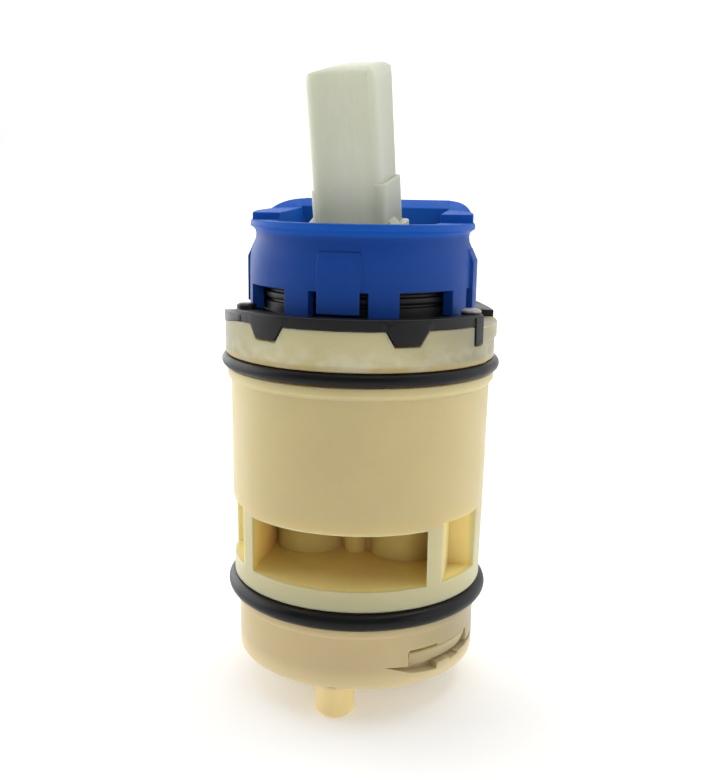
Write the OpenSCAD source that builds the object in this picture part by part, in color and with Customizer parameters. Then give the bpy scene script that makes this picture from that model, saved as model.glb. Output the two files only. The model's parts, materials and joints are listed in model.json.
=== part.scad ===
// Single-lever mixer cartridge with side outlets, 33 mm class.
// Millimetres. Z is the axis, z = 0 is the flat bottom face of the base cup.
// The front is -Y. Bearings are degrees from the front, positive towards +X.

/* [Main tube] */
// Outer radius of the main tube under its flange
tube_r = 16.5; // [16.4:0.05:16.6]
// How much slimmer the main tube is at the windows
tube_taper = 0.2; // [0.1:0.05:0.3]
// Wall between the main tube's outside and the disc chamber
tube_wall = 3.3; // [3.2:0.05:3.4]
// Height of the main tube from the windows to the flange
tube_h = 16.15; // [15.8:0.05:16.5]
// How far the flange under the upper O-ring stands out from the tube
flange_out = 0.5; // [0.35:0.05:0.6]
// Height of that flange
flange_h = 1.5; // [1.3:0.1:1.7]
// How far the collar stands out from the tube
collar_out = 0.7; // [0.6:0.05:0.8]
// Height of the collar
collar_h = 4.7; // [4.6:0.05:5]
// Depth of the disc chamber under the collar's top face
chamber_depth = 14.1; // [14:0.05:14.2]

/* [Windows] */
// How far the land over the lower O-ring is set back from the main tube
land_in = 0.35; // [0.2:0.05:0.5]
// Height of the land
land_h = 2.6; // [2.4:0.05:2.9]
// Height of the outlet windows
window_h = 7.0; // [6.5:0.05:7.2]
// Bearing of the middle of a post
post_at = 46.5; // [44:0.5:49]
// Width of a post in degrees
post_deg = 8.5; // [7:0.5:11]
// Distance from the middle plane to the side pocket on the left of the front
web_left = 1.8; // [1.5:0.1:2.1]
// Distance from the middle plane to the side pocket on the right of the front
web_right = 3.5; // [3.2:0.1:3.8]

/* [Base cup] */
// How far the cup's wall is set back from the land
cup_in = 0.65; // [0.5:0.05:0.8]
// Thickness of the cup's wall
cup_wall = 1.5; // [1.4:0.05:1.6]
// Thickness of the cup's floor
cup_floor = 2.4; // [2.3:0.1:2.6]
// Height of the cup's top edge over its bottom face
cup_h = 7.9; // [7.6:0.1:8.2]
// How far the bead under the lower O-ring stands out from the wall
cup_bead = 0.4; // [0.2:0.1:0.5]
// Diameter of a locating pin
pin_d = 4.8; // [4:0.1:5]
// How far a locating pin stands below the bottom face
pin_len = 4.15; // [3:0.05:5]
// Distance of a locating pin's side from the outside of the cup's wall
pin_in = 0.25; // [0.1:0.05:0.4]
// Bearing that a snap window is drawn around
snap_at = 39; // [37:1:41]
// Bearing where a snap window ends
snap_to = 91; // [86:1:94]

/* [Inlets] */
// Distance from the axis to the centre of an inlet
inlet_at = 6.3; // [6.1:0.1:6.5]
// Radius of the water way of an inlet in the housing
inlet_r = 3.2; // [2.8:0.1:3.3]
// Wall of an inlet tube inside the bay
inlet_wall = 1.2; // [1:0.1:1.4]
// How much wider the mouth of an inlet seal is than the water way
mouth_out = 0.2; // [0.1:0.05:0.3]
// Wall of an inlet seal's neck, which goes through the floor
seal_wall = 1.1; // [0.9:0.1:1.2]
// How far an inlet seal's collar stands out from its neck
seal_collar = 0.9; // [0.7:0.1:1]
// How far an inlet seal stands below the bottom face
seal_proud = 0.5; // [0.3:0.1:0.7]

/* [O-rings] */
// Section diameter of the lower O-ring
low_ring_d = 2.15; // [2:0.05:2.25]
// How far the lower O-ring stands out from the land
low_ring_out = 0.8; // [0.65:0.05:0.95]
// Section diameter of the upper O-ring
up_ring_d = 1.6; // [1.5:0.05:1.7]
// How far the upper O-ring stands out from the collar
up_ring_out = 0.45; // [0.3:0.05:0.6]
// Section diameter of the turret's O-ring
turret_ring_d = 1.3; // [1.1:0.1:1.4]

/* [Ceramic discs] */
// Thickness of the fixed disc
fixed_disc_t = 3.4; // [3.2:0.1:3.5]
// Thickness of the moving disc
moving_disc_t = 2.8; // [2.6:0.1:3]
// Room between the moving disc, in the middle, and the cap's bore
disc_room = 1.9; // [1.8:0.1:2.2]
// Radius of the inlet ports of the fixed disc
port_r = 2.3; // [2:0.1:2.5]
// Distance of the inlet ports from the middle plane
port_x = 5.0; // [4.7:0.1:5.3]
// Distance of the inlet ports in front of the axis
port_y = 4.2; // [4:0.1:4.4]
// Radius of the outlet port
outlet_r = 3.3; // [3:0.1:3.5]
// Distance of the outlet port behind the axis
outlet_y = 6.0; // [5.6:0.1:6.3]
// Depth of the chamber under the moving disc
recess_depth = 1.4; // [1:0.1:1.6]

/* [Lever] */
// Bearing of the lever at rest
turret_deg = -9; // [-20:1:20]
// Lean of the lever towards its own front at rest
lever_lean = 12; // [6:1:12]
// Width of the lever's stem
stem_w = 8.8; // [8:0.1:9]
// Depth of the lever's stem
stem_d = 7.5; // [7:0.1:7.8]
// Corner radius of the stem
stem_round = 1.3; // [0.8:0.1:1.6]
// Length of the lever from the pivot to its top
lever_up = 28.4; // [24:0.1:32]
// Radius of the edges around the lever's top
top_round = 1.2; // [0.8:0.1:1.4]
// Distance from the pivot to the higher of the steps that a handle rests on
step_up = 15.6; // [14:0.1:16]
// How much lower the step on the left is
step_drop = 0.9; // [0.5:0.1:1.2]
// Distance from the pivot to the top of the lever's guard
guard_up = 10.2; // [10:0.1:10.6]
// How far the guard stands out from the stem on each side
guard_out = 1.6; // [1.2:0.1:1.8]
// Distance from the pivot to the finger in the drive plate
lever_down = 6.7; // [6.6:0.1:6.8]
// Radius of the finger
finger_r = 1.5; // [1.4:0.05:1.6]
// Radius of the lever's hub
hub_r = 3.7; // [3.4:0.1:3.8]
// Radius of the lever's pin
lever_pin_r = 1.5; // [1.3:0.1:1.6]

/* [Turret] */
// Height of the turret over the lever's pivot
turret_up = 7.9; // [7.7:0.1:8]
// Thickness of the turret's flange under the cap
turret_flange_t = 2.7; // [2.5:0.1:2.8]
// Thickness of the drive plate
plate_t = 3.8; // [3.7:0.05:3.9]

/* [Casing cap] */
// Thickness of the rim on the collar
rim_t = 1.3; // [1.1:0.1:1.5]
// Width of the face on the rim that the clamping nut presses on
clamp_w = 1.7; // [1.5:0.1:1.9]
// Depth of the step between that face and the neck
rim_step = 0.45; // [0.3:0.05:0.5]
// Bearing where the rim begins to fall towards the gap
fall_from = -47; // [-50:1:-44]
// Bearing where the gap in the rim begins
gap_from = 68; // [66:1:70]
// Bearing where the gap in the rim ends
gap_to = 108; // [104:1:110]
// How far the neck is set back from the disc chamber
neck_in = 0.75; // [0.65:0.05:0.85]
// Wall between the neck and the turret's bore
cap_wall = 1.85; // [1.8:0.05:1.9]
// Height of the cap's top over the turret's
cap_over = 0.5; // [0.3:0.1:0.6]
// Bearing of the middle of a trapezoid tab
tab_at = 29; // [26:1:32]
// How far a trapezoid tab reaches down the collar
tab_drop = 1.6; // [1.2:0.1:2]
// How far the leg beside the gap reaches down the collar
leg_drop = 2.2; // [1.8:0.1:2.6]
// Radius of a boss on the rim
boss_r = 1.2; // [1:0.05:1.25]
// Height of a boss over the rim
boss_h = 0.6; // [0.4:0.1:0.8]

/* [Limiter ring] */
// Gap between the neck and the limiter ring
skirt_gap = 0.15; // [0.1:0.05:0.2]
// Wall of the skirt
skirt_wall = 1.45; // [1.35:0.05:1.5]
// How far a spring tab stands out from the skirt
spring_out = 0.4; // [0.3:0.05:0.5]
// Height of the slots between the teeth
slot_h = 3.0; // [2.7:0.05:3.2]
// Height over which the skirt narrows towards the lip
waist_h = 4.0; // [3.6:0.1:4.4]
// How far the skirt narrows under the lip
waist_in = 0.75; // [0.6:0.05:0.8]
// Thickness of the lip
lip_t = 0.9; // [0.8:0.05:1.1]
// Distance of the opening's sides from the inside of the skirt
gate_side_in = 2.8; // [2.6:0.1:3]
// Distance of the opening's back from the inside of the skirt
gate_back_in = 4.8; // [4.7:0.1:4.9]
// Distance of the frame's front ends from the lip's front
frame_front_in = 9.4; // [9:0.1:10]
// Height of the frame's front ends over the lip
frame_front_h = 0.85; // [0.6:0.05:1]
// Height of the frame's back over the lip
frame_back_h = 2.65; // [2.3:0.05:2.8]

/* [Hidden] */
$fn = 96;

// Clearance of parts that are pushed together
fit = 0.1;
// Radial clearance of a turning fit
running = 0.05;
// Gap between a groove's floor and its ring
ring_fit = 0.02;
// A cut runs this far past the face it opens
over = 1;
// Chamfer of a sharp moulded edge
edge = 0.1;
// Vertical play between stacked parts
play = 0.3;

// Radii from the main tube inwards and outwards
flange_r = tube_r + flange_out;
collar_r = tube_r + collar_out;
up_ring_r = collar_r + up_ring_out;
land_r = tube_r - land_in;
low_ring_r = land_r + low_ring_out;
cup_r = land_r - cup_in;
cavity_r = cup_r - cup_wall;
spigot_r = cavity_r - fit;
pocket_half = land_r * sin(post_at - post_deg / 2);
side_x = land_r * sin(post_at + post_deg / 2);
pin_at = cup_r - pin_d / 2 - pin_in;
chamber_r = tube_r - tube_wall;

// Heights from the bottom face upwards
spigot_z = cup_floor + 2 * play;
low_ring_z = cup_h + low_ring_d / 2 + fit;
land_z = cup_h + low_ring_d + 2 * fit;
window_z0 = land_z + land_h;
window_z1 = window_z0 + window_h;
flange_z = window_z1 + tube_h;
up_ring_z = flange_z + flange_h + up_ring_d / 2 + fit;
collar_z = up_ring_z + up_ring_d / 2 + fit;
collar_top = collar_z + collar_h;
seat_z = collar_top - chamber_depth;

// Base cup and inlets
inlet_tube_r = inlet_r + inlet_wall;
inlet_mouth_r = inlet_r + mouth_out;
inlet_neck_r = inlet_mouth_r + seal_wall;
inlet_seal_r = inlet_neck_r + seal_collar;
inlet_collar_z = cup_floor / 2;
inlet_roof = 4.0;
pin_chamfer = 0.6;
pin_foot = 0.2;
cup_edge = 0.3;
bead_h = 0.9;
snap_z = 2.0;
snap_top = 4.35;
snap_step = 0.25;
snap_left = 3.5;
snap_right = 3.44;
snap_corner = 0.92;
tongue_z = 2.3;
tongue_top = 4.2;
tongue_gap = 0.15;
tongue_t = 0.6;
rib_r = 1.4;
web_half = 0.8;
side_up = 0.6;
passage_half = 1.5;
passage_h = 3.4;

// Collar of the housing at the gap in the cap's rim, and the cap's leg beside it
gap_floor = 0.3;
flat_z = collar_top - 2.1;
flat_in = 0.25;
flat_deg = 5;
fall = 0.11;
fall_out = 0.05;
fall_far = 9;
fall_to = gap_to - 180;
fall_more = 0.5;
leg_from = 62;
leg_to = 67.5;
leg_gap = 0.4;
leg_out = 0.15;
leg_t = 1.4;
tab_half = 1.5;
tab_slope = 0.6;

// Discs, drive plate and turret
seal_in = 1.1;
seal_out = 0.35;
disc_seal_wall = 1.2;
fixed_disc_z = seat_z + seal_out;
moving_disc_z = fixed_disc_z + fixed_disc_t;
plate_z = moving_disc_z + moving_disc_t;
skirt_in = chamber_r - fit;
cap_bore_r = skirt_in - 1.1;
moving_disc_r = cap_bore_r - disc_room;
recess_r = port_x + 2.8;
recess_front = 3.1;
recess_back_r = outlet_r + 0.9;
recess_back_y = 3.2;
key_half = 1.5;
key_depth = 1.2;
plate_half = moving_disc_r - 2.4;
finger_half = 2.6;
finger_neck = finger_r - 0.35;
finger_up = 2.35;
pocket_z = plate_z + 0.6;
pivot_z = plate_z + finger_up + lever_down;
turret_z = plate_z + plate_t + play;
turret_top = pivot_z + turret_up;
turret_flange_r = cap_bore_r - play;
drive_lug_z = plate_z + play;
drive_lug_r = turret_flange_r - 0.4;
drive_lug_half = 5.0;
turret_ring_z = turret_top - 2.4;
slot_half = stem_w / 2 + 0.65;
slot_len = 7.0;

// Lever
hub_out = 0.5;
hub_left = 0.2;
top_slope = 0.06;
guard_t = 1.2;
guard_in = 1.4;
guard_round = 1.0;
gusset_h = 1.4;

// Casing cap
rim_top = collar_top + rim_t;
rim_in = collar_r - clamp_w;
neck_r = chamber_r - neck_in;
cap_journal_r = neck_r - cap_wall;
turret_r = cap_journal_r - fit;
cap_top = turret_top + cap_over;
cap_edge = 0.3;
shoulder_z = turret_z + turret_flange_t + fit;
groove_in = 0.35;
groove_up = 0.7;
groove_pitch = 1.15;
// Bearing and distance from the rim's outside of each boss
bosses = [[66, 1.35], [-51, 1.6]];

// Limiter ring
skirt_inner = neck_r + skirt_gap;
skirt_r = skirt_inner + skirt_wall;
spring_r = skirt_r + spring_out;
teeth_z = rim_top - rim_step + fit;
slot_z = teeth_z + slot_h;
web_z = cap_top + fit;
lip_z = web_z + 0.75;
lip_top = lip_z + lip_t;
lip_r = skirt_r - running;
lip_edge = 0.15;
web_in = 0.3;
spring_root = 0.7;
spring_z = lip_z - 0.55 * waist_h;
foot_h = 0.5;
// Half the middle tooth and half the wide slot, in degrees
middle_deg = 10;
wide_deg = 16;
gate_half = skirt_inner - gate_side_in;
gate_back = skirt_inner - gate_back_in;
frame_r = lip_r - 0.25;
frame_front = frame_front_in - lip_r;
frame_rear = lip_r - 4.3;
frame_top = lip_top + frame_back_h;
frame_root = 0.3;
frame_rise = 0.6;
ramp_up = 1.6;
ramp_slope = 0.6;
ramp_run = 2.0;

// How far the drive plate stands behind the axis at rest
slide_rest = lever_down * sin(lever_lean);

function polar(r, bearing) = [r * sin(bearing), -r * cos(bearing)];

// A pie slice between two bearings
module slice(r, from, to, z0, z1) {
    steps = max(2, ceil((to - from) / 8));
    far = r / cos((to - from) / steps / 2);
    translate([0, 0, z0]) linear_extrude(z1 - z0)
        polygon(concat([[0, 0]], [for (i = [0:steps]) polar(far, from + (to - from) * i / steps)]));
}

module ring(r_out, r_in, z0, z1) {
    difference() {
        translate([0, 0, z0]) cylinder(r = r_out, h = z1 - z0);
        translate([0, 0, z0 - over]) cylinder(r = r_in, h = z1 - z0 + 2 * over);
    }
}

// A piece of a ring between two bearings
module arc(r_out, r_in, from, to, z0, z1) {
    intersection() {
        ring(r_out, r_in, z0, z1);
        slice(r_out + over, from, to, z0, z1);
    }
}

module o_ring(r_out, d, z) {
    translate([0, 0, z]) rotate_extrude() translate([r_out - d / 2, 0]) circle(d = d, $fn = 32);
}

module box(x0, x1, y0, y1, z0, z1) {
    translate([x0, y0, z0]) cube([x1 - x0, y1 - y0, z1 - z0]);
}

// A flat outline of x and z, drawn from the axis out to the front
module to_front(r) {
    rotate([90, 0, 0]) linear_extrude(r) children();
}

// A flat outline of y and z, drawn from -x to x
module across(x) {
    rotate([90, 0, 90]) translate([0, 0, -x]) linear_extrude(2 * x) children();
}

module both_sides() {
    children();
    mirror([1, 0, 0]) children();
}

module half_turns() {
    children();
    rotate(180) children();
}

// The frames of the moving parts at rest
module at_turret() { rotate(turret_deg) children(); }
module at_plate() { rotate(turret_deg) translate([0, slide_rest, 0]) children(); }
module at_lever() {
    rotate(turret_deg) translate([0, 0, pivot_z]) rotate([lever_lean, 0, 0]) children();
}

// A pin whose root flares into the floor, so that it stands free of the cup's rounded edge
module locating_pin() {
    r = pin_d / 2;
    translate([0, -pin_at, 0]) rotate_extrude() polygon([
        [0, -pin_len], [r - pin_chamfer, -pin_len], [r, pin_chamfer - pin_len], [r, -pin_foot],
        [r + pin_foot, pin_foot], [0, pin_foot]]);
}

// The stepped window in the cup's wall for a tongue of the housing
module snap_window() {
    r = cup_r + over;
    turn = asin(snap_right / cup_r);
    rotate(snap_at) to_front(r) polygon([
        [-snap_left, snap_z + 0.75], [-snap_corner, snap_z + 0.6], [-snap_corner, snap_top],
        [-snap_corner + snap_step, snap_top + snap_step], [snap_right, snap_top + snap_step],
        [snap_right, snap_z - 0.75], [-snap_step, snap_z - 0.4]]);
    slice(r, snap_at + turn - 2, snap_to - 14, snap_z, snap_top);
    slice(r, snap_to - 30, snap_to - 23, snap_z - snap_step, snap_z + snap_step);
    slice(r, snap_to - 15, snap_to, snap_z + 0.05, snap_z + 0.6);
}

module base_cup() {
    color("burlywood") difference() {
        union() {
            rotate_extrude() polygon([
                [0, 0], [cup_r - cup_edge, 0], [cup_r - edge / 2, cup_edge + edge],
                [cup_r, 3 * cup_edge], [cup_r, cup_h - bead_h - cup_edge],
                [cup_r + cup_bead, cup_h - bead_h], [cup_r + cup_bead, cup_h], [0, cup_h]]);
            half_turns() locating_pin();
        }
        translate([0, 0, cup_floor]) cylinder(r = cavity_r, h = cup_h);
        both_sides() translate([inlet_at, 0, 0]) {
            translate([0, 0, -over]) cylinder(r = inlet_neck_r + fit, h = cup_floor + 2 * over);
            translate([0, 0, inlet_collar_z]) cylinder(r = inlet_seal_r + fit, h = cup_floor);
        }
        half_turns() intersection() {
            snap_window();
            ring(cup_r + over, cavity_r - fit, 0, cup_h);
        }
    }
}

module inlet_seal() {
    h = spigot_z + seal_proud;
    color("dimgray") difference() {
        union() {
            translate([0, 0, -seal_proud]) cylinder(r = inlet_neck_r, h = h);
            translate([0, 0, inlet_collar_z]) cylinder(r = inlet_seal_r, h = spigot_z - inlet_collar_z);
        }
        translate([0, 0, -seal_proud - over]) cylinder(r = inlet_mouth_r, h = h + 2 * over);
    }
}

module inlet_seal_hot() { translate([-inlet_at, 0, 0]) inlet_seal(); }
module inlet_seal_cold() { translate([inlet_at, 0, 0]) inlet_seal(); }

module lower_o_ring() { color("black") o_ring(low_ring_r, low_ring_d, low_ring_z); }
module upper_o_ring() { color("black") o_ring(up_ring_r, up_ring_d, up_ring_z); }

module housing_outline() {
    low_groove = low_ring_r - low_ring_d - ring_fit;
    up_groove = up_ring_r - up_ring_d - ring_fit;
    chamfer = 2 * edge;
    polygon([
        [0, spigot_z], [spigot_r - 2 * chamfer, spigot_z], [spigot_r, spigot_z + 2 * chamfer],
        [spigot_r, cup_h], [low_groove, cup_h + ring_fit], [low_groove, land_z],
        [land_r - chamfer, land_z], [land_r, land_z + chamfer], [land_r, window_z0],
        [tube_r - tube_taper, window_z1], [tube_r, flange_z],
        [flange_r, flange_z + flange_out], [flange_r, flange_z + flange_h],
        [up_groove, flange_z + flange_h], [up_groove, collar_z],
        [collar_r - edge, collar_z], [collar_r, collar_z + chamfer],
        [collar_r, collar_top - edge], [collar_r - edge, collar_top], [0, collar_top]]);
}

// A tongue that snaps into the cup's window: nearly flush at its top, set back below
module tongue() {
    intersection() {
        rotate_extrude() polygon([
            [spigot_r - over, spigot_z + tongue_gap], [spigot_r - over, tongue_top],
            [cup_r - tongue_gap, tongue_top], [cup_r - tongue_gap, tongue_top - 2 * tongue_gap],
            [cavity_r + tongue_gap + tongue_t, tongue_z], [cavity_r + tongue_gap, tongue_z],
            [cavity_r + tongue_gap, spigot_z + tongue_gap]]);
        slice(cup_r + over, snap_at - 2.7, snap_to - 15, tongue_z - over, tongue_top + over);
    }
}

module seal_place(side) {
    if (side == 0) translate([0, outlet_y, 0]) children();
    else translate([side * port_x, -port_y, 0]) children();
}

// Half of the windows: a wide pocket around the inlet tubes and a closed one beside each post
module windows() {
    r = tube_r + over;
    z0 = window_z0 - over;
    h = window_h + 2 * over;
    difference() {
        box(-pocket_half, pocket_half, -r, -web_half, window_z0, window_z1);
        both_sides() translate([inlet_at, 0, z0]) cylinder(r = inlet_tube_r, h = h);
        translate([0, -rib_r, z0]) cylinder(r = rib_r, h = h);
    }
    box(-r, -side_x, -r, -web_left, window_z0, window_z1 + side_up);
    box(side_x, r, -r, -web_right, window_z0, window_z1 + side_up);
}

// A trapezoid tab, drawn up into the rim; it widens upwards on both sides
module tab_shape(extra, drop) {
    bottom = tab_half + extra - drop / 2;
    top = tab_half + extra + (tab_drop + over) * tab_slope;
    tab_z = collar_top - tab_drop - drop;
    to_front(collar_r + over)
        polygon([[-top, collar_top + over], [-bottom, tab_z], [bottom, tab_z], [top, collar_top + over]]);
}

module tabs(extra, drop) {
    half_turns() for (side = [-1, 1]) rotate(side * tab_at) tab_shape(extra, drop);
}

// The space over a plane that falls from one bearing towards the gap in the rim
module over_fall(z) {
    rotate(fall_from) to_front(collar_r + 2 * over) polygon([
        [over, z + fall * over], [over, z + 2 * over], [-fall_far, z + 2 * over],
        [-fall_far, z - fall * fall_far]]);
}

// How the collar follows the cap's rim: lower in the gap and where the rim falls
module collar_cuts() {
    r = collar_r + over;
    arc(r, chamber_r - over, leg_to, gap_to, collar_top - gap_floor, collar_top + over);
    arc(r, collar_r - flat_in, gap_from + flat_deg, gap_to - flat_deg, collar_z - edge, flat_z);
    intersection() {
        over_fall(collar_top - fall_out);
        arc(r, rim_in - play, fall_to - fall_more, fall_from + 3, collar_top - 2 * over, collar_top + over);
    }
}

module housing() {
    color("wheat") difference() {
        union() {
            rotate_extrude() housing_outline();
            half_turns() tongue();
        }
        translate([0, 0, seat_z]) cylinder(r = chamber_r, h = chamber_depth + 2 * over);
        half_turns() {
            windows();
            collar_cuts();
        }
        box(-passage_half, passage_half, -2 * rib_r - edge, 2 * rib_r + edge, window_z1 - passage_h,
            window_z1);
        both_sides() translate([inlet_at, 0, spigot_z - over])
            cylinder(r = inlet_r, h = window_z1 + inlet_roof - spigot_z + over);
        for (side = [-1, 1]) seal_place(side) {
            translate([0, 0, window_z1 + inlet_roof / 2])
                cylinder(r = port_r, h = seat_z - window_z1);
            translate([0, 0, seat_z - seal_in])
                cylinder(r = port_r + disc_seal_wall + fit, h = over + seal_in);
        }
        seal_place(0) {
            translate([0, 0, window_z1 - over]) cylinder(r = outlet_r, h = seat_z - window_z1 + 2 * over);
            translate([0, 0, seat_z - seal_in])
                cylinder(r = outlet_r + disc_seal_wall + fit, h = over + seal_in);
        }
        intersection() {
            tabs(1.5 * fit, 2 * fit);
            ring(collar_r + over, chamber_r - over, collar_top - tab_drop - over, collar_top + over);
        }
        half_turns() arc(collar_r + over, collar_r - leg_t, leg_from - leg_gap, leg_to + leg_gap,
            collar_top - leg_drop - 2 * fit, collar_top + 2 * over);
    }
}

module disc_seal(side) {
    r = side == 0 ? outlet_r : port_r;
    color("dimgray") seal_place(side) ring(r + disc_seal_wall, r, seat_z - seal_in, seat_z + seal_out);
}

module disc_seal_hot() { disc_seal(-1); }
module disc_seal_cold() { disc_seal(1); }
module disc_seal_outlet() { disc_seal(0); }

module fixed_disc() {
    color("whitesmoke") difference() {
        translate([0, 0, fixed_disc_z]) cylinder(r = chamber_r - 2 * fit, h = fixed_disc_t);
        for (side = [-1, 0, 1]) seal_place(side)
            translate([0, 0, fixed_disc_z - over])
                cylinder(r = side == 0 ? outlet_r : port_r, h = fixed_disc_t + 2 * over);
    }
}

// The chamber under the moving disc that joins the ports
module mixing_recess() {
    h = over + recess_depth;
    width = recess_r - play;
    translate([0, 0, moving_disc_z - over]) {
        translate([0, recess_back_y, 0]) cylinder(r = recess_back_r, h = h);
        intersection() {
            cylinder(r = recess_r, h = h);
            box(-width, width, -recess_front, recess_back_y - recess_front / 2, 0, h);
        }
    }
}

module moving_disc() {
    color("whitesmoke") at_plate() difference() {
        translate([0, 0, moving_disc_z]) cylinder(r = moving_disc_r, h = moving_disc_t);
        mixing_recess();
        for (turn = [0:90:270]) rotate(turn + 45)
            box(-key_half, key_half, moving_disc_r - key_depth, moving_disc_r + over,
                moving_disc_z - over, plate_z + over);
    }
}

module drive_plate() {
    key = key_half - fit;
    color("gainsboro") at_plate() difference() {
        union() {
            translate([0, 0, plate_z]) intersection() {
                cylinder(r = moving_disc_r, h = plate_t);
                box(-plate_half, plate_half, -moving_disc_r, moving_disc_r, 0, plate_t);
            }
            for (turn = [0:90:270]) rotate(turn + 45) intersection() {
                box(-key, key, moving_disc_r - key_depth + fit, moving_disc_r,
                    moving_disc_z + 2 * play, plate_z + 2 * fit);
                cylinder(r = moving_disc_r - 2 * fit, h = pivot_z);
            }
        }
        box(-finger_half - fit, finger_half + fit, -finger_r - fit, finger_r + fit,
            pocket_z, plate_z + plate_t + over);
    }
}

module turret() {
    color("lightgray") at_turret() difference() {
        union() {
            translate([0, 0, turret_z]) cylinder(r = turret_flange_r, h = turret_flange_t);
            translate([0, 0, turret_z]) cylinder(r = turret_r, h = turret_top - turret_z);
            both_sides() intersection() {
                translate([0, 0, drive_lug_z]) cylinder(r = drive_lug_r, h = turret_z - drive_lug_z + over);
                box(plate_half + fit, drive_lug_r, -drive_lug_half, drive_lug_half, drive_lug_z,
                    turret_z + over);
            }
        }
        box(-slot_half, slot_half, -slot_len, slot_len, turret_z - over, turret_top + over);
        translate([-turret_flange_r - over, 0, pivot_z]) rotate([0, 90, 0])
            cylinder(r = lever_pin_r + ring_fit, h = 2 * (turret_flange_r + over));
        ring(turret_r + over, turret_r - turret_ring_d, turret_ring_z - turret_ring_d / 2 - fit,
            turret_ring_z + turret_ring_d / 2 + fit);
    }
}

module turret_o_ring() {
    color("black") at_turret() o_ring(turret_r + ring_fit, turret_ring_d, turret_ring_z);
}

module lever_pin() {
    half = turret_r - 4 * fit;
    color("silver") at_turret() translate([-half, 0, pivot_z])
        rotate([0, 90, 0]) cylinder(r = lever_pin_r, h = 2 * half);
}

// A bar with rounded long edges
module rounded_bar(w, d, r, z0, z1) {
    translate([0, 0, z0]) linear_extrude(z1 - z0) union() {
        square([w - 2 * r, d], center = true);
        square([w, d - 2 * r], center = true);
        for (x = [-1, 1], y = [-1, 1])
            translate([x * (w / 2 - r), y * (d / 2 - r)]) circle(r = r, $fn = 32);
    }
}

// An upright outline with a rounded, slightly sloping top
module rounded_top(w, slope) {
    half = w / 2;
    polygon(concat([[-half, over], [half, over]],
        [for (side = [1, -1], i = [0:5]) let (turn = side > 0 ? i * 18 : 90 - i * 18)
            [side * (half - top_round + top_round * cos(turn)),
                lever_up - top_round * (1 - sin(turn)) + slope * side * half]]));
}

module stem() {
    intersection() {
        rounded_bar(stem_w, stem_d, stem_round, 0, lever_up + over);
        translate([0, stem_d, 0]) to_front(2 * stem_d) rounded_top(stem_w + fit, top_slope);
        across(stem_w) rounded_top(stem_d + fit, 0);
    }
}

module lever() {
    hub_w = stem_w + 2 * hub_out;
    guard_half = stem_w / 2 + guard_out;
    color("beige") at_lever() difference() {
        union() {
            stem();
            translate([hub_out, 0, 0]) rounded_bar(stem_w, stem_d - 2 * fit, guard_round, 0, step_up);
            translate([-hub_left, 0, 0])
                rounded_bar(stem_w, stem_d - 3 * fit, guard_round, 0, step_up - step_drop);
            rounded_bar(2 * guard_half, stem_d - guard_in, guard_round, guard_up - guard_t, guard_up);
            translate([0, -edge, 0]) to_front(stem_d / 2 - guard_in) polygon([
                [-guard_half + fit, guard_up - edge], [guard_half - fit, guard_up - edge],
                [guard_half - fit - gusset_h, guard_up + gusset_h],
                [-guard_half + fit + gusset_h, guard_up + gusset_h]]);
            translate([-hub_w / 2, 0, 0]) rotate([0, 90, 0]) cylinder(r = hub_r, h = hub_w);
            box(-finger_half, finger_half, -finger_neck, finger_neck, -lever_down, 0);
            translate([-finger_half, 0, -lever_down]) rotate([0, 90, 0])
                cylinder(r = finger_r, h = 2 * finger_half);
        }
        translate([-stem_w, 0, 0]) rotate([0, 90, 0])
            cylinder(r = lever_pin_r + running, h = 2 * stem_w);
    }
}

module cap_outline() {
    step_z = rim_top - rim_step;
    polygon(concat(
        [[cap_bore_r, moving_disc_z], [skirt_in, moving_disc_z], [skirt_in, collar_top],
            [collar_r, collar_top], [collar_r, rim_top - edge], [collar_r - edge, rim_top],
            [rim_in, rim_top], [rim_in, step_z], [neck_r, step_z]],
        [for (i = [0:2], p = [[0, 0], [-groove_in, edge], [-groove_in, 4 * edge], [0, 5 * edge]])
            [neck_r + p[0], rim_top + groove_up + groove_pitch * i + p[1]]],
        [[neck_r, cap_top - cap_edge], [neck_r - cap_edge, cap_top], [cap_journal_r, cap_top],
            [cap_journal_r, shoulder_z], [cap_bore_r, shoulder_z]]));
}

module boss(place) {
    top = rim_top + boss_h;
    rotate(place[0]) translate([0, place[1] - collar_r, 0]) rotate_extrude() polygon([
        [0, rim_top - boss_h], [boss_r, rim_top - boss_h], [boss_r, top - 2 * edge],
        [boss_r - 3 * edge, top], [0, top]]);
}

module casing_cap() {
    color("#202022") difference() {
        union() {
            rotate_extrude() cap_outline();
            half_turns() {
                for (side = [-1, 1]) rotate(side * tab_at) intersection() {
                    tab_shape(0, 0);
                    ring(collar_r + fit, chamber_r + 3 * fit, collar_top - tab_drop - over,
                        collar_top + over);
                }
                arc(collar_r + leg_out, collar_r - leg_t + leg_out, leg_from, leg_to,
                    collar_top - leg_drop, collar_top + over);
                intersection() {
                    over_fall(collar_top);
                    arc(collar_r + fall_out, rim_in + fit, fall_to - 2 * fall_more, fall_from + 2,
                        collar_top - over, rim_top - rim_step - edge);
                }
            }
        }
        half_turns() {
            arc(collar_r + over, chamber_r + 2 * fit, gap_from, gap_to, collar_top - over, rim_top + over);
            intersection() {
                over_fall(rim_top);
                ring(collar_r + over, chamber_r + 4 * fit, collar_top - over, rim_top + over);
            }
        }
    }
    color("#202022") half_turns() for (place = bosses) boss(place);
}

module skirt_slots() {
    r = spring_r + over;
    z0 = teeth_z - over;
    for (quarter = [0:90:270]) rotate(quarter) {
        slice(r, -middle_deg - 5, -middle_deg, z0, slot_z);
        slice(r, middle_deg, middle_deg + 4, z0, slot_z);
        slice(r, 45 - wide_deg, 45 + wide_deg, z0, slot_z);
        slice(r, -middle_deg - 2, middle_deg + 2, z0, teeth_z + foot_h);
    }
}

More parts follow.
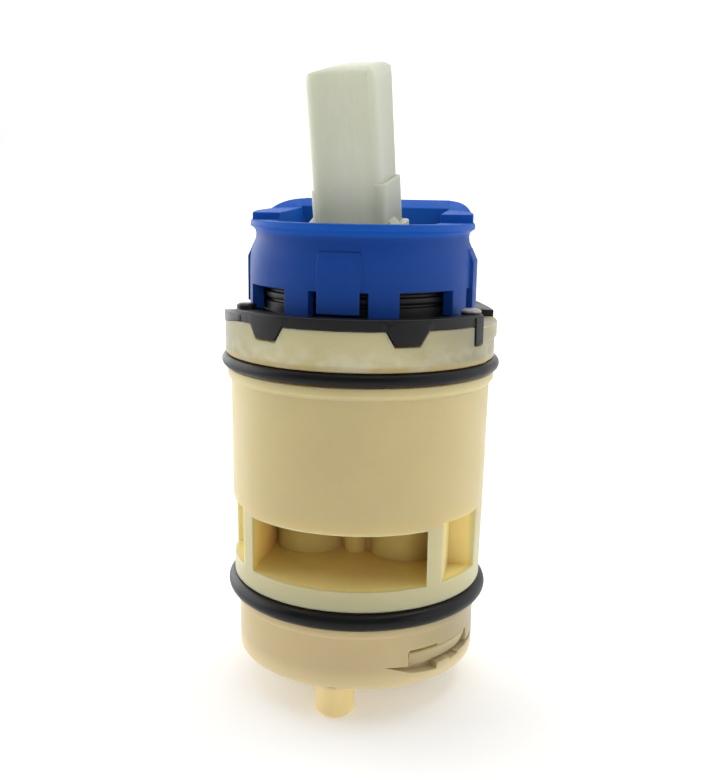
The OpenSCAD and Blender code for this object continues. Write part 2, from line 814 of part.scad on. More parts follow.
// The raised frame around the opening for the lever; its back rises in a mitred ramp
module gate_frame() {
    z0 = lip_top - frame_root;
    arm_z = lip_top + frame_front_h;
    arm_end = arm_z + frame_rise * (frame_rear + over - frame_front) / (gate_back - frame_front);
    ramp_z = lip_top + ramp_up;
    dip = ramp_z - ramp_run * ramp_slope;
    peak = ramp_z + 2 * ramp_run * ramp_slope;
    turn = sqrt(2);
    intersection() {
        union() {
            across(lip_r) polygon([[frame_front - over, z0], [frame_rear + over, z0],
                [frame_rear + over, arm_end], [frame_front, arm_z], [frame_front - over, arm_z]]);
            across(lip_r) polygon([[gate_back - ramp_run, z0], [gate_back + 2 * ramp_run, z0],
                [gate_back + 2 * ramp_run, peak], [gate_back - ramp_run, dip]]);
            both_sides() translate([gate_half + fit, gate_back, 0]) rotate(-45)
                across(lip_r / 2) polygon([[-ramp_run / turn, z0], [2 * ramp_run / turn, z0],
                    [2 * ramp_run / turn, peak], [-ramp_run / turn, dip]]);
        }
        cylinder(r = frame_r, h = frame_top);
        box(-lip_r, lip_r, frame_front, frame_rear, z0, frame_top + over);
    }
}

module limiter_outline() {
    polygon([
        [0, web_z], [skirt_inner, web_z], [skirt_inner, teeth_z], [skirt_r, teeth_z],
        [skirt_r, lip_z - waist_h], [skirt_r - 0.16 * waist_in, lip_z - 0.75 * waist_h],
        [skirt_r - 0.53 * waist_in, lip_z - 0.5 * waist_h],
        [skirt_r - 0.9 * waist_in, lip_z - 0.34 * waist_h],
        [skirt_r - waist_in, lip_z - 0.19 * waist_h],
        [skirt_r - 0.85 * waist_in, lip_z - 0.06 * waist_h],
        [lip_r - 2 * lip_edge, lip_z], [lip_r, lip_z + lip_edge],
        [lip_r, lip_top - lip_edge], [lip_r - lip_edge, lip_top], [0, lip_top]]);
}

module limiter_ring() {
    color("royalblue") difference() {
        union() {
            rotate_extrude() limiter_outline();
            gate_frame();
            for (quarter = [0:90:270]) rotate(quarter)
                arc(spring_r, skirt_r - spring_root, -10.3, 10.3, teeth_z, spring_z);
        }
        skirt_slots();
        box(-gate_half, gate_half, -skirt_r - over, gate_back, lip_top, frame_top + over);
        intersection() {
            box(-gate_half, gate_half, -skirt_r - over, gate_back, web_z - over, frame_top + over);
            cylinder(r = skirt_inner - web_in, h = frame_top + over);
        }
    }
}

base_cup();
inlet_seal_hot();
inlet_seal_cold();
housing();
lower_o_ring();
upper_o_ring();
disc_seal_hot();
disc_seal_cold();
disc_seal_outlet();
fixed_disc();
moving_disc();
drive_plate();
turret();
turret_o_ring();
lever_pin();
lever();
casing_cap();
limiter_ring();
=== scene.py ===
# The looks of a single-lever mixer cartridge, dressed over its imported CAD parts.
# Lengths are metres in the part's own frame: z = 0 is the base cup's bottom face, the front is -Y.
import json
import math

import bmesh
import bpy
from mathutils import Matrix, Vector


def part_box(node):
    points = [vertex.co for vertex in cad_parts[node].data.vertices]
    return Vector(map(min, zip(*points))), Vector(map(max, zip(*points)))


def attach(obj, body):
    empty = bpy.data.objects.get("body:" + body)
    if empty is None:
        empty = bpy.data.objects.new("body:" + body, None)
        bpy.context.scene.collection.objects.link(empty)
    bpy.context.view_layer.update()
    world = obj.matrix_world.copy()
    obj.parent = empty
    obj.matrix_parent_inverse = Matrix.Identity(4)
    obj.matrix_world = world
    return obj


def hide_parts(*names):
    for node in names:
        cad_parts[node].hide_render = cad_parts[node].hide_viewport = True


MM = 0.001

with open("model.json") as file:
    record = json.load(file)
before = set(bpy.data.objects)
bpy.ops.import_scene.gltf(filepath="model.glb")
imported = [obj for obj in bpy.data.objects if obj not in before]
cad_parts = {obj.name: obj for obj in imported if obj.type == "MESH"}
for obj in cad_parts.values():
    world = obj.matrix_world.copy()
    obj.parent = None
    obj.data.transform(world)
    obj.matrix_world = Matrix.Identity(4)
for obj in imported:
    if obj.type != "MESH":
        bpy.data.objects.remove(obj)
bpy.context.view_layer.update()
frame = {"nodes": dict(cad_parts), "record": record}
nodes = frame["nodes"]

# Camera, as fitted to the rings' edges in the photograph
CAMERA_BEARING = math.radians(11.0)
CAMERA_AWAY = 126.0 * MM
CAMERA_UP = 59.2 * MM
CAMERA_PITCH = math.radians(11.29)
CAMERA_ROLL = math.radians(1.02)
FOCAL_PIXELS = 992.4
IMAGE_HEIGHT = 780
SENSOR = 36.0
NEAR, FAR = 0.01, 10

# Tops of the cup and of the outlet windows, undersides of the flange and of the collar over it,
# top of the cap's rim, underside of the limiter ring's lip
CUP_TOP = 7.9 * MM
WINDOW_TOP = 19.85 * MM
FLANGE_Z = 36.0 * MM
COLLAR_Z = 39.3 * MM
RIM_TOP = 45.3 * MM
LIP_Z = 54.7 * MM

# The locating pins, the lowest part of the cup, stand on the floor
FLOOR_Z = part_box("base_cup")[0].z

# The lever's frame at rest: its turn about the axis, its pin's height and its lean to the front
LEVER_TURN, PIVOT_Z, LEVER_LEAN = math.radians(-9.0), 45.5 * MM, math.radians(12.0)
LEVER_FRAME = (Matrix.Rotation(LEVER_TURN, 4, "Z") @ Matrix.Translation((0, 0, PIVOT_Z))
               @ Matrix.Rotation(LEVER_LEAN, 4, "X"))

# In that frame, what lies over STRETCH_Z is lifted before the top is cut
STRETCH_Z, LEVER_LIFT = 20.0 * MM, 1.3 * MM

# The cut top: its height at the middle, its corners' radius, its slope across the front,
# and how far it falls, in mm, 1 mm from the middle
LEVER_TOP = 28.95 * MM
LEVER_ROUND = 1.6 * MM
LEVER_SLOPE = 0.09
DOME_WIDE, DOME_DEEP = 0.03, 0.012

# Half width and half depth of the cut, a little outside the bar's, and a block around its foot
LEVER_HALF_W, LEVER_HALF_D = 4.42 * MM, 3.77 * MM
FOOT_HALF, FOOT_BOTTOM, FOOT_TOP = 8.0 * MM, -16.0 * MM, 17.0 * MM

# The limiter ring: the lip's top, the front ends of the frame on it and their turn,
# and the spring tabs' radii, tops and fall to the outside
LIP_TOP = 55.65 * MM
FRAME_FRONT, FRAME_TURN = -2.3 * MM, math.radians(8.0)
SPRING_R, SPRING_ROOT_R = 14.45 * MM, 13.8 * MM
SPRING_TOP, SPRING_FALL = 52.55 * MM, 1.4 * MM

# Cutters: half depth over the lever, reach over the frame's ends, outer radius over the tabs,
# how far they stand past a surface, and the steps of a corner and of a whole turn
LEVER_CUT, FRAME_CUT, SPRING_CUT_R = 12 * MM, 16 * MM, 15 * MM
PAST = 0.05 * MM
CORNER_STEPS, TURN_STEPS = 8, 96

# Points nearer than this are one: in a CAD mesh or a rounded edge, in a smooth ring,
# and in a reshaped piece
SAME, RING_SAME, SLIVER = 0.001 * MM, 0.002 * MM, 0.04 * MM

# Edges sharper than this are rounded, once points nearer than this share of the width are one
SHARP = math.radians(35)
EDGE_SAME = 1 / 3
EDGE_SEGMENTS = 2

# Radius of the rounding on each node's moulded edges
EDGES = {
    "base_cup": 0.1 * MM,
    "housing": 0.12 * MM,
    "casing_cap": 0.05 * MM,
    "limiter_ring": 0.12 * MM,
    "lever": 0.08 * MM,
    "turret": 0.12 * MM,
}
RINGS = ("lower_o_ring", "upper_o_ring", "turret_o_ring")

# Backdrop: how far it reaches to the front and to its wall, its half width, the radius of the bend
# up to the wall and the wall's height, all in metres, and the steps of the bend
FLOOR_REACH, FLOOR_HALF_WIDE = 0.9, 1.2
WALL_BEND, WALL_TOP, BEND_STEPS = 0.25, 0.8, 12

# Sockets of a Mix node for colours: its share, its two colours and its result
MIX_SHARE, MIX_A, MIX_B, MIX_RESULT = 0, 6, 7, 2


def linear(value):
    """One sRGB channel from 0 to 255 as linear light."""
    c = value / 255
    return c / 12.92 if c <= 0.04045 else ((c + 0.055) / 1.055) ** 2.4


def rgb(r, g, b):
    """An sRGB colour from 0 to 255 as linear light."""
    return (linear(r), linear(g), linear(b), 1.0)


class Nodes:
    """A material's node tree, with short calls for the nodes used here."""

    def __init__(self, name):
        self.material = bpy.data.materials.new(name)
        self.material.use_nodes = True
        self.tree = self.material.node_tree
        self.shader = self.tree.nodes["Principled BSDF"]
        self.place = self.add("ShaderNodeTexCoord").outputs["Object"]

    def add(self, kind, **values):
        node = self.tree.nodes.new(kind)
        for key, value in values.items():
            setattr(node, key, value)
        return node

    def link(self, source, target):
        self.tree.links.new(source, target)

    def put(self, socket, value):
        """Links a node's output to a socket, or sets a plain value on it."""
        if isinstance(value, bpy.types.NodeSocket):
            self.link(value, socket)
        else:
            socket.default_value = value

    def shade(self, name, value):
        """Links or sets one of the shader's own inputs."""
        self.put(self.shader.inputs[name], value)

    def math(self, operation, a, b=0.0):
        node = self.add("ShaderNodeMath", operation=operation)
        self.put(node.inputs[0], a)
        self.put(node.inputs[1], b)
        return node.outputs[0]

    def both(self, *shares):
        """The product of shares."""
        product = shares[0]
        for share in shares[1:]:
            product = self.math("MULTIPLY", product, share)
        return product

    def noise(self, size, detail=3.0, rough=0.5, stretch=(1, 1, 1)):
        """Noise from 0 to 1 whose grains are about size metres across."""
        scaled = self.add("ShaderNodeMapping")
        self.link(self.place, scaled.inputs["Vector"])
        scaled.inputs["Scale"].default_value = [s / size for s in stretch]
        node = self.add("ShaderNodeTexNoise")
        node.inputs["Scale"].default_value = 1.0
        node.inputs["Detail"].default_value = detail
        node.inputs["Roughness"].default_value = rough
        self.link(scaled.outputs["Vector"], node.inputs["Vector"])
        return node.outputs["Fac"]

    def span(self, value, low, high, to_low=0.0, to_high=1.0):
        """A value mapped smoothly from one span to another, clamped."""
        node = self.add("ShaderNodeMapRange", clamp=True, interpolation_type="SMOOTHSTEP")
        self.put(node.inputs["Value"], value)
        node.inputs["From Min"].default_value = low
        node.inputs["From Max"].default_value = high
        node.inputs["To Min"].default_value = to_low
        node.inputs["To Max"].default_value = to_high
        return node.outputs["Result"]

    def mix(self, share, a, b):
        """Colour a, or b where the share is 1."""
        node = self.add("ShaderNodeMix", data_type="RGBA")
        self.put(node.inputs[MIX_SHARE], share)
        self.put(node.inputs[MIX_A], a)
        self.put(node.inputs[MIX_B], b)
        return node.outputs[MIX_RESULT]

    def axis(self, name):
        node = self.add("ShaderNodeSeparateXYZ")
        self.link(self.place, node.inputs[0])
        return node.outputs[name]

    def radius(self):
        """Distance from the cartridge's axis."""
        flat = self.add("ShaderNodeVectorMath", operation="MULTIPLY")
        self.link(self.place, flat.inputs[0])
        flat.inputs[1].default_value = (1, 1, 0)
        length = self.add("ShaderNodeVectorMath", operation="LENGTH")
        self.link(flat.outputs[0], length.inputs[0])
        return length.outputs["Value"]

    def bump(self, value, depth, after=None):
        """Bump of a depth in metres, on top of another one."""
        node = self.add("ShaderNodeBump")
        node.inputs["Distance"].default_value = depth
        self.link(value, node.inputs["Height"])
        if after is not None:
            self.link(after, node.inputs["Normal"])
        return node.outputs["Normal"]


def moulded(n, colour, rough, spread, shine=0.5, grain=0.004 * MM, waves=0.02 * MM):
    """The finish of moulded plastic: fine grain, slow waves and uneven gloss."""
    fine = n.noise(0.25 * MM, detail=4.0, rough=0.6)
    slow = n.noise(5.0 * MM, detail=2.0, rough=0.4)
    n.shade("Base Color", colour)
    n.shade("Specular IOR Level", shine)
    n.shade("Roughness", n.span(slow, 0.3, 0.7, rough - spread, rough + spread))
    n.shade("Normal", n.bump(fine, grain, n.bump(slow, waves)))


def scatter(n, weight, reach, tint):
    """Light that goes a little way through the plastic."""
    n.shade("Subsurface Weight", weight)
    n.shade("Subsurface Scale", reach)
    n.shade("Subsurface Radius", tint)


def tube_tint(n, cloud):
    """Cream, paler at the front's left end as painted light and darker at the back as painted
    shade.
    """
    # Painted light: paler cream at the front's left end.
    front_left_painted_light = n.both(n.span(n.axis("X"), -8.0 * MM, -13.0 * MM),
                        n.span(n.axis("Y"), 2.0 * MM, -4.0 * MM))
    # Painted shade: darker cream at the back.
    back = n.span(n.axis("Y"), 2.0 * MM, 10.0 * MM)
    tint = n.mix(cloud, rgb(213, 197, 148), rgb(200, 183, 136))
    tint = n.mix(front_left_painted_light, tint, rgb(215, 200, 153))
    return n.mix(back, tint, rgb(194, 177, 134))


def collar_tint(n, cloud, z):
    """Greener cream, greyer at the sides as painted shade, with pale scuffs over an ochre foot that
    is a painted shadow of the groove.
    """
    # Painted shade: greyer towards the sides, on the cream and on the pale scuffs alike.
    sides = n.span(n.math("ABSOLUTE", n.axis("X")), 6.0 * MM, 16.0 * MM)
    scuffs = n.both(n.span(n.noise(2.6 * MM, detail=2.5, stretch=(1, 1, 1.5)), 0.35, 0.75),
                    n.span(z, COLLAR_Z + 4.2 * MM, COLLAR_Z + 0.8 * MM), 0.6)
    pale = n.mix(sides, rgb(226, 222, 200), rgb(190, 186, 164))
    # Painted shadow: an ochre band along the collar's foot, over the groove of the upper O-ring.
    foot = n.both(n.span(z, COLLAR_Z + 0.9 * MM, COLLAR_Z + 0.4 * MM),
                  n.span(n.noise(3.0 * MM), 0.3, 0.7, 0.45, 0.95))
    tint = n.mix(cloud, rgb(212, 201, 156), rgb(198, 186, 142))
    # Painted shade at the sides.
    tint = n.mix(sides, tint, rgb(156, 151, 124))
    tint = n.mix(scuffs, tint, pale)
    return n.mix(foot, tint, rgb(196, 170, 114))


def cream_plastic():
    """The housing: cream, greener on its collar, land and posts; lighter in the windows and ochre
    inside the bay, painted lighter there as a glow of light through the thin plastic; with a
    painted shadow in the groove under the collar.
    """
    n = Nodes("cream_plastic")
    z, r = n.axis("Z"), n.radius()
    cloud = n.noise(9.0 * MM)
    above_flange = n.span(z, FLANGE_Z + 1.0 * MM, COLLAR_Z + 0.5 * MM)
    above_land = n.span(z, WINDOW_TOP - 0.2 * MM, WINDOW_TOP + 0.6 * MM)
    low = n.span(z, COLLAR_Z, WINDOW_TOP + 4.0 * MM)
    in_windows = n.both(n.span(r, 16.0 * MM, 15.2 * MM), low)
    in_bay = n.both(n.span(r, 14.6 * MM, 9.5 * MM), low)
    # Painted shadow in the groove between the flange and the collar.
    groove_painted_shadow = n.both(n.span(r, 16.9 * MM, 16.6 * MM),
                       n.span(z, FLANGE_Z + 1.2 * MM, FLANGE_Z + 1.6 * MM),
                       n.span(z, COLLAR_Z + 0.5 * MM, COLLAR_Z + 0.2 * MM))
    in_cup = n.span(z, CUP_TOP, CUP_TOP - 0.5 * MM)
    land = n.mix(cloud, rgb(204, 198, 160), rgb(194, 187, 149))
    # Painted glow: the walls inside the windows lighter cream, for light coming through the thin
    # plastic.
    shade = n.mix(n.noise(4.0 * MM), rgb(242, 226, 160), rgb(232, 214, 144))
    # Ochre, and painted lighter as a glow of light coming through the thin walls.
    bay = n.mix(n.noise(5.0 * MM), rgb(232, 208, 142), rgb(216, 190, 120))
    colour = n.mix(above_flange, tube_tint(n, cloud), collar_tint(n, cloud, z))
    colour = n.mix(above_land, land, colour)
    colour = n.mix(in_windows, colour, shade)
    colour = n.mix(in_bay, colour, bay)
    colour = n.mix(groove_painted_shadow, colour, rgb(196, 152, 84))
    colour = n.mix(in_cup, colour, rgb(190, 173, 134))
    moulded(n, colour, rough=0.4, spread=0.06, shine=0.2)
    scatter(n, weight=0.8, reach=3.6 * MM, tint=(1.0, 0.78, 0.38))
    return n.material


def beige_plastic():
    """The base cup: beige, greyer on its right as painted shade, paler at its lower edge and on its
    pins as painted light from below.
    """
    n = Nodes("beige_plastic")
    z = n.axis("Z")
    # Painted shade: greyer towards the right.
    right = n.span(n.axis("X"), 6.0 * MM, 15.0 * MM)
    # Painted light from below: paler at the lower edge and on the pins.
    lower_edge_painted_light = n.span(z, 3.0 * MM, 0.4 * MM)
    pins = n.span(z, 0.1 * MM, -0.3 * MM)
    colour = n.mix(n.noise(8.0 * MM), rgb(214, 193, 146), rgb(203, 182, 136))
    colour = n.mix(right, colour, rgb(176, 162, 124))
    colour = n.mix(lower_edge_painted_light, colour, rgb(228, 209, 164))
    colour = n.mix(pins, colour, rgb(252, 226, 162))
    moulded(n, colour, rough=0.38, spread=0.06, shine=0.4)
    scatter(n, weight=0.3, reach=1.4 * MM, tint=(1.0, 0.75, 0.4))
    return n.material


def black_plastic():
    """The casing cap: satin black, with a painted pale sheen on the tops of the bosses at its
    right.
    """
    n = Nodes("black_plastic")
    # Painted sheen: the bosses' tops pale grey where they face the light above.
    boss_tops_painted_sheen = n.both(n.span(n.axis("Z"), RIM_TOP + 0.1 * MM, RIM_TOP + 0.4 * MM),
                       n.span(n.radius(), 14.0 * MM, 14.4 * MM),
                       n.span(n.axis("X"), -6.0 * MM, 6.0 * MM),
                       n.span(n.noise(0.6 * MM), 0.25, 0.5, 0.5, 1.0))
    colour = n.mix(n.noise(3.0 * MM), rgb(13, 13, 14), rgb(20, 20, 21))
    colour = n.mix(boss_tops_painted_sheen, colour, rgb(178, 172, 174))
    moulded(n, colour, rough=0.4, spread=0.08, shine=0.31)
    return n.material


def blue_plastic():
    """The limiter ring, deeper blue below its lip as painted shade."""
    n = Nodes("blue_plastic")
    # Painted shade: deeper blue on all that lies below the lip.
    below_lip_painted_shade = n.span(n.axis("Z"), LIP_Z, LIP_Z - 0.8 * MM)
    colour = n.mix(n.noise(6.0 * MM), rgb(22, 84, 178), rgb(26, 89, 184))
    colour = n.mix(below_lip_painted_shade, colour, rgb(26, 69, 148))
    moulded(n, colour, rough=0.48, spread=0.05, shine=0.12)
    scatter(n, weight=0.1, reach=0.4 * MM, tint=(0.2, 0.4, 1.0))
    return n.material


def lever_plastic():
    """The lever: translucent grey-green with upright streaks, paler low as painted light, greyer at
    its sides as painted shade.
    """
    n = Nodes("lever_plastic")
    streaks = n.noise(0.7 * MM, detail=2.0, stretch=(1, 1, 0.04))
    # Painted light: paler towards the bottom.
    low = n.span(n.axis("Z"), 68.0 * MM, 57.0 * MM, 0.0, 0.6)
    # Painted shade: a little greyer at the left and greyer still at the right.
    left = n.span(n.axis("X"), -1.0 * MM, -4.0 * MM, 0.0, 0.6)
    right = n.span(n.axis("X"), 1.0 * MM, 5.0 * MM)
    colour = n.mix(n.noise(7.0 * MM, detail=2.0), rgb(218, 219, 200), rgb(210, 212, 192))
    colour = n.mix(n.span(streaks, 0.4, 0.8, 0.0, 0.25), colour, rgb(228, 232, 216))
    colour = n.mix(low, colour, rgb(234, 234, 218))
    colour = n.mix(left, colour, rgb(204, 206, 188))
    colour = n.mix(right, colour, rgb(176, 179, 162))
    moulded(n, colour, rough=0.4, spread=0.05, shine=0.25)
    scatter(n, weight=0.8, reach=3.2 * MM, tint=(0.95, 1.0, 0.8))
    return n.material


def grey_plastic():
    """The turret and the drive plate."""
    n = Nodes("grey_plastic")
    moulded(n, n.mix(n.noise(6.0 * MM), rgb(196, 198, 192), rgb(186, 188, 182)),
            rough=0.42, spread=0.06)
    return n.material


def ceramic():
    """The two discs, ground nearly smooth."""
    n = Nodes("ceramic")
    speck = n.noise(0.4 * MM, detail=5.0, rough=0.6)
    moulded(n, n.mix(speck, rgb(240, 240, 236), rgb(228, 228, 224)),
            rough=0.2, spread=0.04, grain=0.001 * MM, waves=0.002 * MM)
    return n.material


def black_rubber():
    """Rubber with a film of grease, which makes its gloss uneven."""
    n = Nodes("black_rubber")
    film = n.noise(2.5 * MM, detail=4.0, rough=0.6)
    moulded(n, n.mix(film, rgb(7, 7, 10), rgb(11, 11, 14)),
            rough=0.38, spread=0.08, shine=0.24, grain=0.003 * MM, waves=0.01 * MM)
    return n.material


def steel():
    """The lever's pin, drawn along its length."""
    n = Nodes("steel")
    lines = n.noise(0.3 * MM, stretch=(0.1, 6, 6))
    n.shade("Base Color", n.mix(lines, rgb(178, 178, 180), rgb(150, 150, 154)))
    n.shade("Roughness", n.span(lines, 0.3, 0.7, 0.22, 0.36))
    n.shade("Normal", n.bump(lines, 0.002 * MM))
    n.shade("Metallic", 1.0)
    return n.material


FINISHES = {
    "housing_plastic": cream_plastic(),
    "cup_plastic": beige_plastic(),
    "black_plastic": black_plastic(),
    "blue_plastic": blue_plastic(),
    "lever_plastic": lever_plastic(),
    "grey_plastic": grey_plastic(),
    "ceramic": ceramic(),
    "black_rubber": black_rubber(),
    "steel": steel(),
}


def added(name, data):
    """A new object in the scene."""
    obj = bpy.data.objects.new(name, data)
    bpy.context.scene.collection.objects.link(obj)
    return obj


def shade_smooth(mesh):
    for face in mesh.polygons:
        face.use_smooth = True


def closed(name, verts, faces):
    """An object of one closed mesh, its faces turned outwards."""
    mesh = bpy.data.meshes.new(name)
    mesh.from_pydata(verts, [], faces)
    made = bmesh.new()
    made.from_mesh(mesh)
    bmesh.ops.recalc_face_normals(made, faces=made.faces)
    made.to_mesh(mesh)
    made.free()
    return added(name, mesh)


def prism(name, outline, half, place):
    """A flat outline of x and z, drawn out along y to both sides in a frame of its own."""
    count = len(outline)
    verts = [place @ Vector((x, y, z)) for y in (-half, half) for x, z in outline]
    faces = [list(range(count)), list(range(2 * count - 1, count - 1, -1))]
    faces += [(i, (i + 1) % count, (i + 1) % count + count, i + count) for i in range(count)]
    return closed(name, verts, faces)


def turned(name, outline):
    """A closed outline of radii and heights, turned around the cartridge's axis."""
    count = len(outline)
    verts, faces = [], []
    for i in range(TURN_STEPS):
        turn = 2 * math.pi * i / TURN_STEPS
        verts += [(r * math.cos(turn), r * math.sin(turn), z) for r, z in outline]
        a, b = i * count, (i + 1) % TURN_STEPS * count
        faces += [(a + j, b + j, b + (j + 1) % count, a + (j + 1) % count) for j in range(count)]
    return closed(name, verts, faces)


def lever_outline(half, slope, dome):
    """A wide foot under a bar whose top is domed and slopes, with rounded corners."""
    def top(x):
        return LEVER_TOP + slope * x - dome * x * x / MM

    arc = []
    for side in (1, -1):
        corner = side * (half - LEVER_ROUND)
        turns = [math.pi / 2 * i / CORNER_STEPS for i in range(CORNER_STEPS + 1)]
        for turn in turns if side > 0 else reversed(turns):
            arc.append((corner + side * LEVER_ROUND * math.cos(turn),
                        top(corner) - LEVER_ROUND * (1 - math.sin(turn))))
        if side > 0:
            across = [corner * (1 - 2 * i / CORNER_STEPS) for i in range(1, CORNER_STEPS)]
            arc += [(x, top(x)) for x in across]
    return [(-FOOT_HALF, FOOT_BOTTOM), (FOOT_HALF, FOOT_BOTTOM), (FOOT_HALF, FOOT_TOP),
            (half, FOOT_TOP)] + arc + [(-half, FOOT_TOP), (-FOOT_HALF, FOOT_TOP)]


def lever_cuts():
    """The lever keeps what lies inside two outlines, one seen from its front, one from its side."""
    wide = lever_outline(LEVER_HALF_W, LEVER_SLOPE, DOME_WIDE)
    deep = lever_outline(LEVER_HALF_D, 0.0, DOME_DEEP)
    sideways = LEVER_FRAME @ Matrix.Rotation(math.radians(90.0), 4, "Z")
    return [("INTERSECT", prism("wide", wide, LEVER_CUT, LEVER_FRAME)),
            ("INTERSECT", prism("deep", deep, LEVER_CUT, sideways))]


def ring_cuts():
    """The limiter ring loses the front ends of its frame and the edges of its spring tabs' tops."""
    front = [(-FRAME_CUT, LIP_TOP), (FRAME_CUT, LIP_TOP), (FRAME_CUT, LIP_TOP + FRAME_CUT),
             (-FRAME_CUT, LIP_TOP + FRAME_CUT)]
    place = (Matrix.Rotation(FRAME_TURN, 4, "Z")
             @ Matrix.Translation((0, FRAME_FRONT - FRAME_CUT / 2, 0)))
    fall = PAST * SPRING_FALL / (SPRING_R - SPRING_ROOT_R)
    foot = SPRING_TOP - SPRING_FALL - fall
    slope = [(SPRING_R + PAST, foot), (SPRING_ROOT_R, SPRING_TOP),
             (SPRING_ROOT_R, SPRING_TOP + PAST), (SPRING_CUT_R, SPRING_TOP + PAST),
             (SPRING_CUT_R, foot)]
    return [("DIFFERENCE", prism("ends", front, FRAME_CUT / 2, place)),
            ("DIFFERENCE", turned("slope", slope))]


def reshaped(node, body, name, cuts, lift=0.0):
    """A copy of a CAD node's mesh that stands for it, cut by (operation, cutter) pairs.

    A lift first stretches what lies high in the lever's frame."""
    made = bmesh.new()
    made.from_mesh(nodes[node].data)
    bmesh.ops.remove_doubles(made, verts=made.verts, dist=SAME)
    if lift:
        back = LEVER_FRAME.inverted()
        for vert in made.verts:
            place = back @ vert.co
            if place.z > STRETCH_Z:
                vert.co = LEVER_FRAME @ (place + Vector((0, 0, lift)))
    mesh = bpy.data.meshes.new(name)
    made.to_mesh(mesh)
    made.free()
    piece = added(name, mesh)
    for operation, cutter in cuts:
        cut = piece.modifiers.new(cutter.name, "BOOLEAN")
        cut.operation = operation
        cut.solver = "EXACT"
        cut.object = cutter
    seen = piece.evaluated_get(bpy.context.evaluated_depsgraph_get())
    made = bmesh.new()
    made.from_mesh(seen.data)
    bmesh.ops.remove_doubles(made, verts=made.verts, dist=SLIVER)
    bmesh.ops.dissolve_degenerate(made, edges=made.edges, dist=SLIVER)
    piece.modifiers.clear()
    made.to_mesh(mesh)
    made.free()
    for _, cutter in cuts:
        bpy.data.objects.remove(cutter)
    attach(piece, body)
    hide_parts(node)
    return piece


def smooth(obj, join):
    """Shades a node smoothly over its joined vertices."""
    shade_smooth(obj.data)
    weld = obj.modifiers.new("weld", "WELD")
    weld.merge_threshold = join


def soften(obj, width):
    """Rounds sharp edges for the eye; the mesh's own vertices stay as they are."""
    smooth(obj, width * EDGE_SAME)
    bevel = obj.modifiers.new("edges", "BEVEL")
    bevel.width = width
    bevel.segments = EDGE_SEGMENTS
    bevel.limit_method = "ANGLE"
    bevel.angle_limit = SHARP
    bevel.use_clamp_overlap = False
    join = obj.modifiers.new("slivers", "WELD")
    join.merge_threshold = SAME
    even = obj.modifiers.new("normals", "WEIGHTED_NORMAL")
    even.keep_sharp = False


def dress():
    """Every node gets its finish, and the moulded ones in view get rounded edges."""
    shown = {
        **nodes,
        "lever": reshaped("lever", "lever", "lever_domed", lever_cuts(), LEVER_LIFT),
        "limiter_ring": reshaped("limiter_ring", "body", "limiter_ring_eased", ring_cuts()),
    }
    for part in frame["record"]["subparts"]:
        obj = shown[part["node"]]
        obj.data.materials.clear()
        obj.data.materials.append(FINISHES[part["material_slot"]])
    for node, width in EDGES.items():
        soften(shown[node], width)
    for node in RINGS:
        smooth(shown[node], RING_SAME)


def backdrop():
    """A pale floor that curves up into a wall behind the part."""
    profile = [(-FLOOR_REACH, 0.0), (FLOOR_REACH - WALL_BEND, 0.0)]
    for i in range(1, BEND_STEPS + 1):
        turn = math.pi / 2 * i / BEND_STEPS
        profile.append((FLOOR_REACH - WALL_BEND + WALL_BEND * math.sin(turn),
                        WALL_BEND * (1 - math.cos(turn))))
    profile.append((FLOOR_REACH, WALL_TOP))
    verts = [(x, y, FLOOR_Z + z) for y, z in profile for x in (-FLOOR_HALF_WIDE, FLOOR_HALF_WIDE)]
    faces = [(2 * i, 2 * i + 1, 2 * i + 3, 2 * i + 2) for i in range(len(profile) - 1)]
    mesh = bpy.data.meshes.new("backdrop")
    mesh.from_pydata(verts, [], faces)
    shade_smooth(mesh)
    obj = added("backdrop", mesh)
    obj.rotation_euler.z = CAMERA_BEARING
    paper = bpy.data.materials.new("paper")
    paper.use_nodes = True
    shader = paper.node_tree.nodes["Principled BSDF"]
    shader.inputs["Base Color"].default_value = (0.9, 0.9, 0.9, 1)
    shader.inputs["Roughness"].default_value = 0.9
    shader.inputs["Emission Color"].default_value = (1, 1, 1, 1)
    shader.inputs["Emission Strength"].default_value = 0.2
    mesh.materials.append(paper)


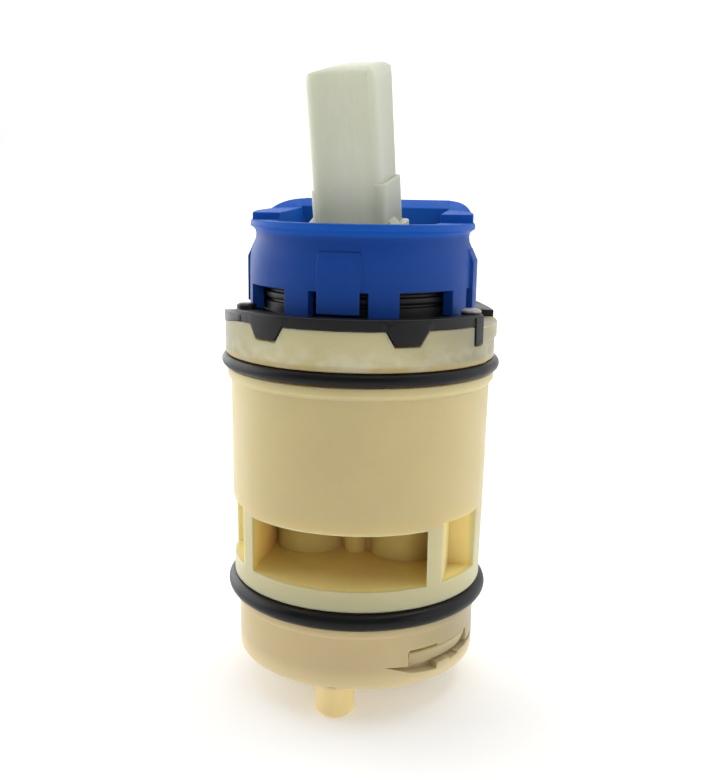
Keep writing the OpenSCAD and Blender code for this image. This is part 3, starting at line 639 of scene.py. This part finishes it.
def softbox(name, bearing, away, up, size, power, target, spread=180, mirrored=True):
    """A rectangular area light that looks at a point: degrees, metres and watts."""
    light = bpy.data.lights.new(name, "AREA")
    light.shape = "RECTANGLE"
    light.size, light.size_y = size
    light.energy = power
    light.spread = math.radians(spread)
    obj = added(name, light)
    turn = math.radians(bearing)
    obj.location = (away * math.sin(turn), -away * math.cos(turn), up)
    obj.rotation_euler = (Vector(target) - obj.location).to_track_quat("-Z", "Y").to_euler()
    obj.visible_glossy = mirrored


def studio():
    """Large lights at both sides, one above, a faint narrow one on the lever, one on the wall."""
    middle = (0, 0, 36 * MM)
    softbox("left", bearing=-109, away=0.7, up=0.2, size=(1.1, 0.8), power=6.1, target=middle)
    softbox("right", bearing=102, away=0.7, up=0.2, size=(1.3, 0.8), power=3.5, target=middle)
    softbox("top", bearing=160, away=0.1, up=0.5, size=(0.5, 0.5), power=1.1, target=middle)
    softbox("snoot", bearing=20, away=0.5, up=0.22, size=(0.12, 0.12), power=0.006,
            target=(0, 0, 66 * MM), spread=14, mirrored=False)
    softbox("wall", bearing=190, away=0.15, up=0.7, size=(0.9, 0.3), power=3.0,
            target=(-0.1, 0.8, 0.25))
    world = bpy.data.worlds.new("studio")
    bpy.context.scene.world = world
    world.use_nodes = True
    sky = world.node_tree.nodes["Background"]
    sky.inputs["Color"].default_value = (1, 1, 1, 1)
    sky.inputs["Strength"].default_value = 0.27


def camera():
    """The photograph's view, whose longer side is its height."""
    data = bpy.data.cameras.new("camera")
    data.sensor_width = SENSOR
    data.lens = FOCAL_PIXELS * SENSOR / IMAGE_HEIGHT
    data.clip_start, data.clip_end = NEAR, FAR
    obj = added("camera", data)
    side, front = math.sin(CAMERA_BEARING), math.cos(CAMERA_BEARING)
    level, down = math.cos(CAMERA_PITCH), math.sin(CAMERA_PITCH)
    obj.location = (CAMERA_AWAY * side, -CAMERA_AWAY * front, CAMERA_UP)
    ahead = Vector((-side * level, front * level, -down))
    turn = ahead.to_track_quat("-Z", "Y").to_matrix() @ Matrix.Rotation(CAMERA_ROLL, 3, "Z")
    obj.rotation_euler = turn.to_euler()
    bpy.context.scene.camera = obj


camera()
dress()
backdrop()
studio()
bpy.context.scene.view_settings.view_transform = "Standard"
